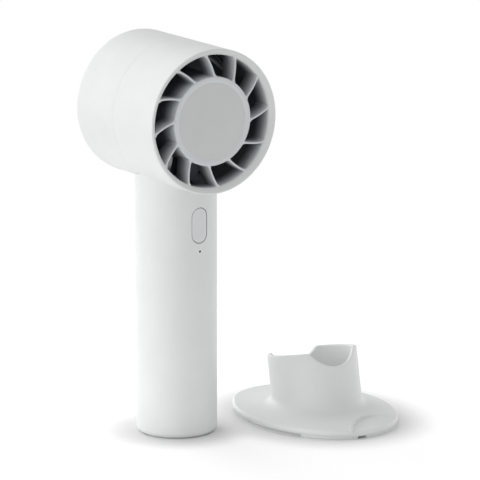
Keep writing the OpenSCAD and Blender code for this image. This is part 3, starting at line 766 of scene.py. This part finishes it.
def makeIntake():
    shape = Shape()
    front, back = low("intake_grille").y - frontY, high("intake_grille").y - frontY
    rim = high("intake_grille").x
    rimIn = rim - intake["rimWide"]
    shape.spin(softOutline([(rimIn, front, 0.3), (rim, front, 0.1), (rim, back, 0.1), (rimIn, back, 0.6)]),
               inHead, 160)
    eye = intake["eye"]
    shape.spin(softOutline([(0, front, 0), (eye, front, 0.2), (eye, back, 0.8), (eye - 2, back, 0.3),
                            (eye - 2.3, back - 0.5, 0.3), (0, back - 0.35, 0)]), inHead, 96)
    midIn, midOut = intake["midRing"] - intake["midHalf"], intake["midRing"] + intake["midHalf"]
    shape.spin(softOutline([(midIn, back - 1.4, 0.15), (midOut, back - 1.4, 0.15), (midOut, back - 0.05, 0.4),
                            (midIn, back - 0.05, 0.4)]), inHead)
    for i in range(intake["bars"]):
        t = 2 * math.pi * i / intake["bars"]
        along, across = Vector((math.cos(t), math.sin(t))), Vector((-math.sin(t), math.cos(t)))
        rings = []
        for s in range(9):
            radius = eye - 0.5 + (rim - 1.2 - eye + 0.5) * s / 8
            reach = min(radius - eye + 0.5, rimIn - radius)
            half = intake["barHalf"] + intake["root"] * math.exp(-max(reach, 0) / intake["rootReach"])
            ring = []
            for depth, side in vaneSection(0, back - front - 0.1, half * 0.9, half):
                at = along * radius + across * side
                ring.append(inHead(at.x, at.y, back - 0.05 - depth))
            rings.append(ring)
        shape.grid(rings, caps=True)
    makePiece(shape, "intakeGrille", finish["grille_white"], "fan", ("intake_grille",))


makeIntake()
print("intake made")


# power button
def makeButton():
    shape = Shape()
    half, edge = buttonSize.x / 2, button["edge"]
    straight = (buttonSize.z - buttonSize.x) / 2
    steps = [(0.3, button["skin"]), (0, button["skin"] - 0.3), (0, edge + 0.2)]
    steps += [(edge * (1 - math.cos(math.radians(15 * k))), edge * (1 - math.sin(math.radians(15 * k))))
              for k in range(7)]
    steps += [(inset, 0) for inset in (edge + 0.15, 1.2, 2.4, 3.4, half - 0.05)]
    shape.grid([[onGripFront(x, z, gripR - drop) for x, z in pillRing(half - inset, straight)]
                for inset, drop in steps], caps=True)
    inner = gripR - barrel["gripWall"]
    flange = half + button["flange"]
    shape.grid([[onGripFront(x, z, inner - drop) for x, z in pillRing(flange - inset, straight)]
                for inset, drop in ((0.2, 1.3), (0, 1.1), (0, 0.5), (0.2, 0.3))], caps=True)
    postEnd = high("power_button").y
    postStart, postR = -inner + 0.6, button["postR"]
    shape.spin(softOutline([(0, postStart, 0), (postR, postStart, 0), (postR, postEnd, 0.2), (0, postEnd, 0)]),
               lambda a, b, h: (buttonAt.x + a, h, buttonAt.z + b), 48)
    makePiece(shape, "powerButton", finish["button_white"], "button", ("power_button",))


makeButton()
print("button made")

# base cap
base = {"round": 3.0, "rimIn": 15.3, "rimOut": 16.6, "floor": 2.0, "join": 0.015, "hole": 1.1,
        "recess": 2.0, "recessDeep": 1.7, "slotGap": 0.2, "boss": 2.4, "screwHead": 1.9, "cutEnd": 9}


def makeBaseCap():
    r, top = gripR - base["round"], gripFoot - base["join"]
    outline = [(0, 0)] + arc(r, base["round"], base["round"], -90, 0, 14)
    outline += [(gripR, top - 0.3), (gripR, top), (base["rimOut"], top)]
    outline += softOutline([(base["rimOut"], top, 0), (base["rimOut"], high("base_cap").z, 0.2),
                            (base["rimIn"], high("base_cap").z, 0.2), (base["rimIn"], base["floor"], 0.3),
                            (0, base["floor"], 0)])[2:]
    shape = Shape()
    shape.spin(outline, upright, 160)
    piece = meshObject(shape, "baseCap")
    slotMid, slotSize = middle("usb_port"), high("usb_port") - low("usb_port")
    half = slotSize.y / 2 + base["slotGap"]
    ring = pillRing(half, (slotSize.x - slotSize.y) / 2)
    cutter = Shape()
    cutter.grid([[(slotMid.x + b, slotMid.y + a, z) for a, b in ring] for z in (-1, base["cutEnd"])], caps=True)
    cutAway(piece, cutter)
    screwX = high("base_screws").x - base["screwHead"]
    for side in (-1, 1):
        for outline in ([(0, -1), (base["recess"], -1), (base["recess"], base["recessDeep"]),
                         (base["hole"], base["recessDeep"]), (base["hole"], base["cutEnd"]),
                         (0, base["cutEnd"])],
                        [(0, base["floor"]), (base["boss"], base["floor"]), (base["boss"], 8), (0, 8)]):
            cutter = Shape()
            cutter.spin(outline, lambda a, b, h, s=side: (s * screwX + a, b, h), 40)
            cutAway(piece, cutter)
    finishPiece(piece, finish["shell_white"], "fan", ("base_cap",))


makeBaseCap()
print("base cap made")

# desk stand
cupMount = mountList["stand_cup"]
cupAxis = cupMount["axis"]
cupPos = cupMount["pos_m"]
stand = {
    "x": cupPos[0] / mm,
    "y": (cupPos[1] - cupAxis[1] / cupAxis[2] * cupPos[2]) / mm,
    "tilt": math.atan2(cupAxis[1], cupAxis[2]),
    "bore": cupMount["dims"]["r_mm"],
    "out": high("stand_cup").x - cupPos[0] / mm,
    "cupLen": 31.7,
    "cupFloor": 7.4,
    "scallopHalf": 12.3,
    "scallopDepth": 7.3,
    "cornerSoft": 1.2,
    "rimSoft": 0.75,
    "halfW": (high("stand_foot").x - low("stand_foot").x) / 2,
    "halfL": (high("stand_foot").y - low("stand_foot").y) / 2,
    "back": 3.5,
    "endR": 28,
    "rimTop": 4.5,
    "rimLow": 1.2,
    "crown": 6.6,
    "blend": 4.5,
    "apron": 24,
    "well": 2.6,
    "wellInset": 2.5,
    "crownPower": 1.15,
    "handle": 0.56,
    "edgeInset": 1.5,
    "footRows": 76,
    "notchLeft": -6.6,
    "notchRight": -2.2,
    "notchEnd": -34,
    "notchHigh": 1.2,
    "fineFrom": 232,
    "fineTo": 292,
    "fineStep": 0.33,
    "coarseStep": 0.9,
}
# the edge of the thumb recess, as (side, distance to the front) from the cup's foot
pocketEdge = [(-14.2, 50), (-12.6, 44.2), (-10.4, 41.2), (-7.7, 38.3), (-4.3, 34.5), (-0.9, 31.2), (1.4, 29.6),
              (3.9, 28.6), (7, 28.3), (10, 28.6), (13, 29.6), (17, 31.4), (21, 34)]
pocket = {"floor": 3.4, "rise": 0.09, "ramp": 0.6, "bead": 0.3, "beadWide": 0.75, "beadAt": -0.5,
          "left": -16, "right": 24, "behind": 26, "lowSide": -8.5}


def ovalReach(angle, inset):
    # distance from the cup's foot out to the oval's edge
    endY = stand["halfL"] - stand["endR"]
    endR, halfW = stand["endR"], stand["halfW"]
    sideR = (endR * endR - halfW * halfW - endY * endY) / (2 * (endR - halfW))
    sideX = sideR - halfW
    meetY = endY + (endR - inset) * endY / (sideR - endR)
    dx, dy = math.cos(angle), math.sin(angle)
    oy = -stand["back"]

    def leave(cx, cy, radius):
        bx, by = -cx, oy - cy
        b = bx * dx + by * dy
        return -b + math.sqrt(b * b - (bx * bx + by * by - radius * radius))

    reach = min(leave(-sideX, 0, sideR - inset), leave(sideX, 0, sideR - inset))
    if abs(oy + reach * dy) > meetY:
        reach = leave(0, math.copysign(endY, dy), endR - inset)
    return reach


def pocketDistance(x, front):
    # signed distance into the thumb recess, positive inside
    best, inside = 1e9, False
    for (ax, ay), (bx, by) in zip(pocketEdge, pocketEdge[1:]):
        ex, ey = bx - ax, by - ay
        t = max(0, min(1, ((x - ax) * ex + (front - ay) * ey) / (ex * ex + ey * ey)))
        best = min(best, math.hypot(x - ax - t * ex, front - ay - t * ey))
        if ax <= x < bx and front > ay + (x - ax) / ex * ey:
            inside = True
    return best if inside else -best


def footTop(x, y, q):
    # height of the foot's upper face; q runs from the blend to the rim
    z = stand["rimTop"] + (stand["crown"] - stand["rimTop"]) * (1 - q) ** stand["crownPower"]
    front = -y
    if front > pocket["behind"] and pocket["left"] < x < pocket["right"]:
        d = pocketDistance(x, front)
        offBead = d - pocket["beadAt"]
        if abs(offBead) < pocket["beadWide"]:
            z += pocket["bead"] * math.cos(offBead / pocket["beadWide"] * math.pi / 2) ** 2
        t = max(0, min(1, d / pocket["ramp"] + 0.5))
        floor = pocket["floor"] + pocket["rise"] * (x - pocket["lowSide"])
        z = min(z, z + (min(floor, z) - z) * t * t * (3 - 2 * t))
    return z


def makeStand():
    tilt = stand["tilt"]
    sinT, cosT, tanT = math.sin(tilt), math.cos(tilt), math.tan(tilt)
    scallopR = (stand["scallopHalf"] ** 2 + stand["scallopDepth"] ** 2) / (2 * stand["scallopDepth"])

    def rimHeight(x):
        if abs(x) >= scallopR * 0.999:
            return stand["cupLen"]
        dip = stand["cupLen"] - stand["scallopDepth"] + scallopR - math.sqrt(scallopR ** 2 - x * x)
        k = stand["cornerSoft"]
        overlap = max(k - abs(dip - stand["cupLen"]), 0)
        return min(dip, stand["cupLen"]) - overlap * overlap / (4 * k)

    def tilted(a, b, h):
        return (a, b * cosT + h * sinT, -b * sinT + h * cosT)

    angles = []
    t = 0
    while t < 360:
        angles.append(math.radians(t))
        t += stand["fineStep"] if stand["fineFrom"] < t < stand["fineTo"] else stand["coarseStep"]
    soft = stand["rimSoft"]
    table = []
    for t in angles:
        c, s = math.cos(t), math.sin(t)
        column = []
        # inside of the cup, from the floor's middle outwards and up
        for share in (0.35, 0.7, 0.93):
            column.append(tilted(stand["bore"] * share * c, stand["bore"] * share * s, stand["cupFloor"]))
        r, h = stand["bore"], stand["cupFloor"]
        column += [tilted((r - 0.5) * c, (r - 0.5) * s, h), tilted((r - 0.15) * c, (r - 0.15) * s, h + 0.15),
                   tilted(r * c, r * s, h + 0.5)]
        top = rimHeight(r * c)
        for share in (0.3, 0.6, 0.9):
            column.append(tilted(r * c, r * s, h + 0.5 + (top - soft - h - 0.5) * share))
        for k in range(5):
            a = math.radians(22.5 * k)
            grow = r + soft * (1 - math.cos(a))
            column.append(tilted(grow * c, grow * s, rimHeight(grow * c) - soft * (1 - math.sin(a))))
        # over the rim and down the outside
        r = stand["out"]
        for k in range(5):
            a = math.radians(90 - 22.5 * k)
            grow = r - soft * (1 - math.cos(a))
            column.append(tilted(grow * c, grow * s, rimHeight(grow * c) - soft * (1 - math.sin(a))))
        topZ = column[-1][2]
        phi = math.atan2(s / cosT, c)
        d = Vector((math.cos(phi), math.sin(phi)))

        def wall(z):
            return Vector((r * c, r * s / cosT + z * tanT))

        blend = stand["blend"]
        startZ = stand["crown"] + blend
        for share in (0.12, 0.3, 0.5, 0.7, 0.88):
            z = topZ + (startZ - topZ) * share
            column.append((*wall(z), z))
        # concave blend onto the foot
        lean = (wall(1) - wall(0))
        p0, p3 = wall(startZ), wall(stand["crown"]) + d * blend
        edgeReach = ovalReach(phi, stand["edgeInset"])
        edge = Vector((edgeReach * d.x, edgeReach * d.y))
        start3 = Vector((*p3, stand["crown"]))
        slope = (stand["crown"] - stand["rimTop"]) * stand["crownPower"] / max((edge - p3).length, 1)
        q0 = Vector((*p0, startZ))
        q1 = q0 - Vector((lean.x, lean.y, 1)) * blend * stand["handle"]
        q2 = start3 - Vector((d.x, d.y, -slope)) * blend * stand["handle"]
        for k in range(11):
            u = k / 11
            p = q0 * (1 - u) ** 3 + q1 * 3 * u * (1 - u) ** 2 + q2 * 3 * u * u * (1 - u) + start3 * u ** 3
            column.append(tuple(p))
        # the foot's upper face
        for k in range(stand["footRows"] + 1):
            q = k / stand["footRows"]
            at = p3 + (edge - p3) * q
            column.append((at.x, at.y, footTop(at.x, at.y, q)))
        topEdge = column[-1][2]
        rimMid = (stand["rimLow"] + topEdge) / 2
        for inset, z in ((1.12, topEdge - 0.05), (0.75, topEdge - 0.18), (0.42, topEdge - 0.4),
                         (0.18, topEdge - 0.72), (0.04, topEdge - 1.1), (0.0, rimMid), (0.06, rimMid - 0.5),
                         (0.3, rimMid - 0.95), (0.62, stand["rimLow"] + 0.28), (0.9, stand["rimLow"]),
                         (0.9, 0.9), (0.9, 0.25), (1.1, 0.0), (2.5, 0.0), (9, 0.0)):
            reach = ovalReach(phi, inset)
            column.append((reach * d.x, reach * d.y, min(z, topEdge)))
        table.append(column)
    rows = [[(stand["x"] + p[0], stand["y"] + p[1], p[2]) for p in row] for row in zip(*table)]
    first = tilted(0, 0, stand["cupFloor"])
    rows.insert(0, [(stand["x"] + first[0], stand["y"] + first[1], first[2])])
    rows.append([(stand["x"], stand["y"], 0.0)])
    shape = Shape()
    shape.grid(rows)
    piece = meshObject(shape, "deskStand")

    # the raised underside behind the apron, the well and the notch
    front = stand["y"] - stand["apron"]
    cutter = Shape()
    cutter.block((stand["x"] - 60, front, -5), (stand["x"] + 60, stand["y"] + 80, stand["rimLow"]), 0.02)
    cutAway(piece, cutter)
    cutter = Shape()
    outline = []
    for t in turns(200):
        reach = ovalReach(t, stand["wellInset"])
        outline.append((stand["x"] + reach * math.cos(t), max(stand["y"] + reach * math.sin(t), front + 0.02)))
    cutter.grid([[(x, y, z) for x, y in outline] for z in (-1, stand["well"])], caps=True)
    cutAway(piece, cutter)
    cutter = Shape()
    cutter.block((stand["x"] + stand["notchLeft"], stand["y"] - 60, -1),
                 (stand["x"] + stand["notchRight"], stand["y"] + stand["notchEnd"], stand["notchHigh"]), 0.3)
    cutAway(piece, cutter)
    finishPiece(piece, finish["shell_white"], "stand", ("stand_cup", "stand_foot"), 50)


makeStand()
print("desk stand made")

# floor, light and camera
studio = {
    "azimuth": -33.3,
    "elevation": 12.72,
    "distance": 1.902,
    "lens": 315.2,
    "sensor": 36,
    "farClip": 50,
    "aimRight": 29.11,
    "aimUp": -58.54,
    "backdrop": 1.0,
    "ambient": 0.614,
    "floorGlow": 0.32,
    # painted light under the stand's raised rim: its strength and where it ends
    "paintedGapLight": 0.16,
    "paintedGapEdge": 0.96,
    "lampReach": 1.6,
    "lampSize": 0.8,
    "lampAim": (0.03, 0, 0.09),
    # reach of the painted contact shadow around the fan and the stand
    "paintedShadowReach": 22,
    "floorX": 0.03,
    "floorSolid": 0.22,
    "floorEnd": 0.34,
}
# each lamp: the way it stands from the object in degrees, its height in degrees, and its power
lamps = {
    "leftSoftbox": (-75, 8, 3.4),
    "leftBackSoftbox": (-110, 8, 6.4),
    "rearLeftSoftbox": (-150, 8, 2.0),
    "rearLeftHighSoftbox": (-150, 35, 2.2),
    "rightSoftbox": (75, 8, 2.6),
    "rightBackSoftbox": (110, 8, 3.2),
    "rearSoftbox": (180, 8, 5.4),
    "rearHighSoftbox": (180, 35, 1.4),
    "topSoftbox": (180, 65, 2.5),
}


def floorGlow(tree, place):
    # painted shadow: the floor's own light fades out where the fan and the stand meet it, standing in for their
    # contact shadows
    paintedShadowShares = []
    paintedShadowReach = studio["paintedShadowReach"]
    for centre, halfX, halfY in (((0, 0), gripR, gripR),
                                 ((stand["x"], stand["y"] + stand["back"]), stand["halfW"], stand["halfL"])):
        mapping = tree.nodes.new("ShaderNodeMapping")
        mapping.vector_type = "TEXTURE"
        mapping.inputs["Location"].default_value = (centre[0] * mm, centre[1] * mm, 0)
        mapping.inputs["Scale"].default_value = ((halfX + paintedShadowReach) * mm, (halfY + paintedShadowReach) * mm, 1)
        tree.links.new(place, mapping.inputs["Vector"])
        away = vectorNode(tree, "LENGTH", mapping.outputs["Vector"]).outputs["Value"]
        edge = halfX / (halfX + paintedShadowReach)
        paintedShadowShares.append(smoothRamp(tree, away, edge, 1.0))
    # painted light: the stand comes last above, and under its raised rim the floor keeps a little glow, standing
    # in for light bounced into the gap
    paintedUnderRimLight = spread(tree, away, 0, studio["paintedGapLight"], edge, edge * studio["paintedGapEdge"])
    glow = calculate(tree, "MULTIPLY", calculate(tree, "MULTIPLY", *paintedShadowShares), studio["floorGlow"])
    return calculate(tree, "ADD", glow, paintedUnderRimLight)


def makeFloor():
    # a round pale floor whose edge fades into the pale backdrop
    shape = Shape()
    centre = (studio["floorX"] / mm, 0)
    shape.grid([[(centre[0], centre[1], 0)]]
               + [[(centre[0] + r / mm * math.cos(t), centre[1] + r / mm * math.sin(t), 0)
                   for t in turns(96)] for r in (0.1, studio["floorSolid"], studio["floorEnd"])])
    floor = meshObject(shape, "studioFloor")
    for face in floor.data.polygons:
        if face.normal.z < 0:
            face.flip()
    material, tree, shader, place = startMaterial("paleFloor")
    tone = twoTone(tree, spread(tree, noise(tree, place, 3, 2), 0, 1), (0.80, 0.80, 0.80), (0.82, 0.82, 0.82))
    tree.links.new(tone, shader.inputs["Base Color"])
    shader.inputs["Roughness"].default_value = 1.0
    shader.inputs["Specular IOR Level"].default_value = 0.0
    shader.inputs["Emission Color"].default_value = (1, 1, 1, 1)
    tree.links.new(floorGlow(tree, place), shader.inputs["Emission Strength"])
    away = vectorNode(tree, "DISTANCE", place, (studio["floorX"], 0, 0)).outputs["Value"]
    solid = smoothRamp(tree, away, studio["floorEnd"] - 0.01, studio["floorSolid"])
    tree.links.new(solid, shader.inputs["Alpha"])
    floor.data.materials.append(material)


def makeWorld():
    world = bpy.data.worlds.new("studioWorld")
    bpy.context.scene.world = world
    world.use_nodes = True
    tree = world.node_tree
    light = tree.nodes["Background"]
    light.inputs["Color"].default_value = (1, 1, 1, 1)
    light.inputs["Strength"].default_value = studio["ambient"]
    shown = tree.nodes.new("ShaderNodeBackground")
    shown.inputs["Color"].default_value = (1, 1, 1, 1)
    shown.inputs["Strength"].default_value = studio["backdrop"]
    mix = tree.nodes.new("ShaderNodeMixShader")
    path = tree.nodes.new("ShaderNodeLightPath")
    tree.links.new(path.outputs["Is Camera Ray"], mix.inputs[0])
    tree.links.new(light.outputs["Background"], mix.inputs[1])
    tree.links.new(shown.outputs["Background"], mix.inputs[2])
    tree.links.new(mix.outputs["Shader"], tree.nodes["World Output"].inputs["Surface"])


def softbox(name, azimuth, elevation, power):
    az, el = math.radians(azimuth), math.radians(elevation)
    aim = Vector(studio["lampAim"])
    outward = Vector((math.sin(az) * math.cos(el), -math.cos(az) * math.cos(el), math.sin(el)))
    data = bpy.data.lights.new(name, "AREA")
    data.size = studio["lampSize"]
    data.energy = power
    lamp = bpy.data.objects.new(name, data)
    bpy.context.scene.collection.objects.link(lamp)
    lamp.location = aim + outward * studio["lampReach"]
    lamp.rotation_euler = outward.to_track_quat("Z", "Y").to_euler()


def makeCamera():
    az, el = math.radians(studio["azimuth"]), math.radians(studio["elevation"])
    back = Vector((math.sin(az) * math.cos(el), -math.cos(az) * math.cos(el), math.sin(el)))
    right = Vector((math.cos(az), math.sin(az), 0))
    up = back.cross(right)
    aim = Vector((0, 0, axisZ * mm)) + right * studio["aimRight"] * mm + up * studio["aimUp"] * mm
    data = bpy.data.cameras.new("studioCamera")
    data.sensor_width = studio["sensor"]
    data.lens = studio["lens"]
    data.clip_end = studio["farClip"]
    camera = bpy.data.objects.new("studioCamera", data)
    bpy.context.scene.collection.objects.link(camera)
    camera.location = aim + back * studio["distance"]
    turn = back.to_track_quat("Z", "Y").to_matrix()
    camera.rotation_euler = turn.to_euler()
    bpy.context.scene.camera = camera


makeFloor()
makeWorld()
for lampName, settings in lamps.items():
    softbox(lampName, *settings)
makeCamera()
bpy.context.scene.view_settings.view_transform = "Standard"
print("studio made")
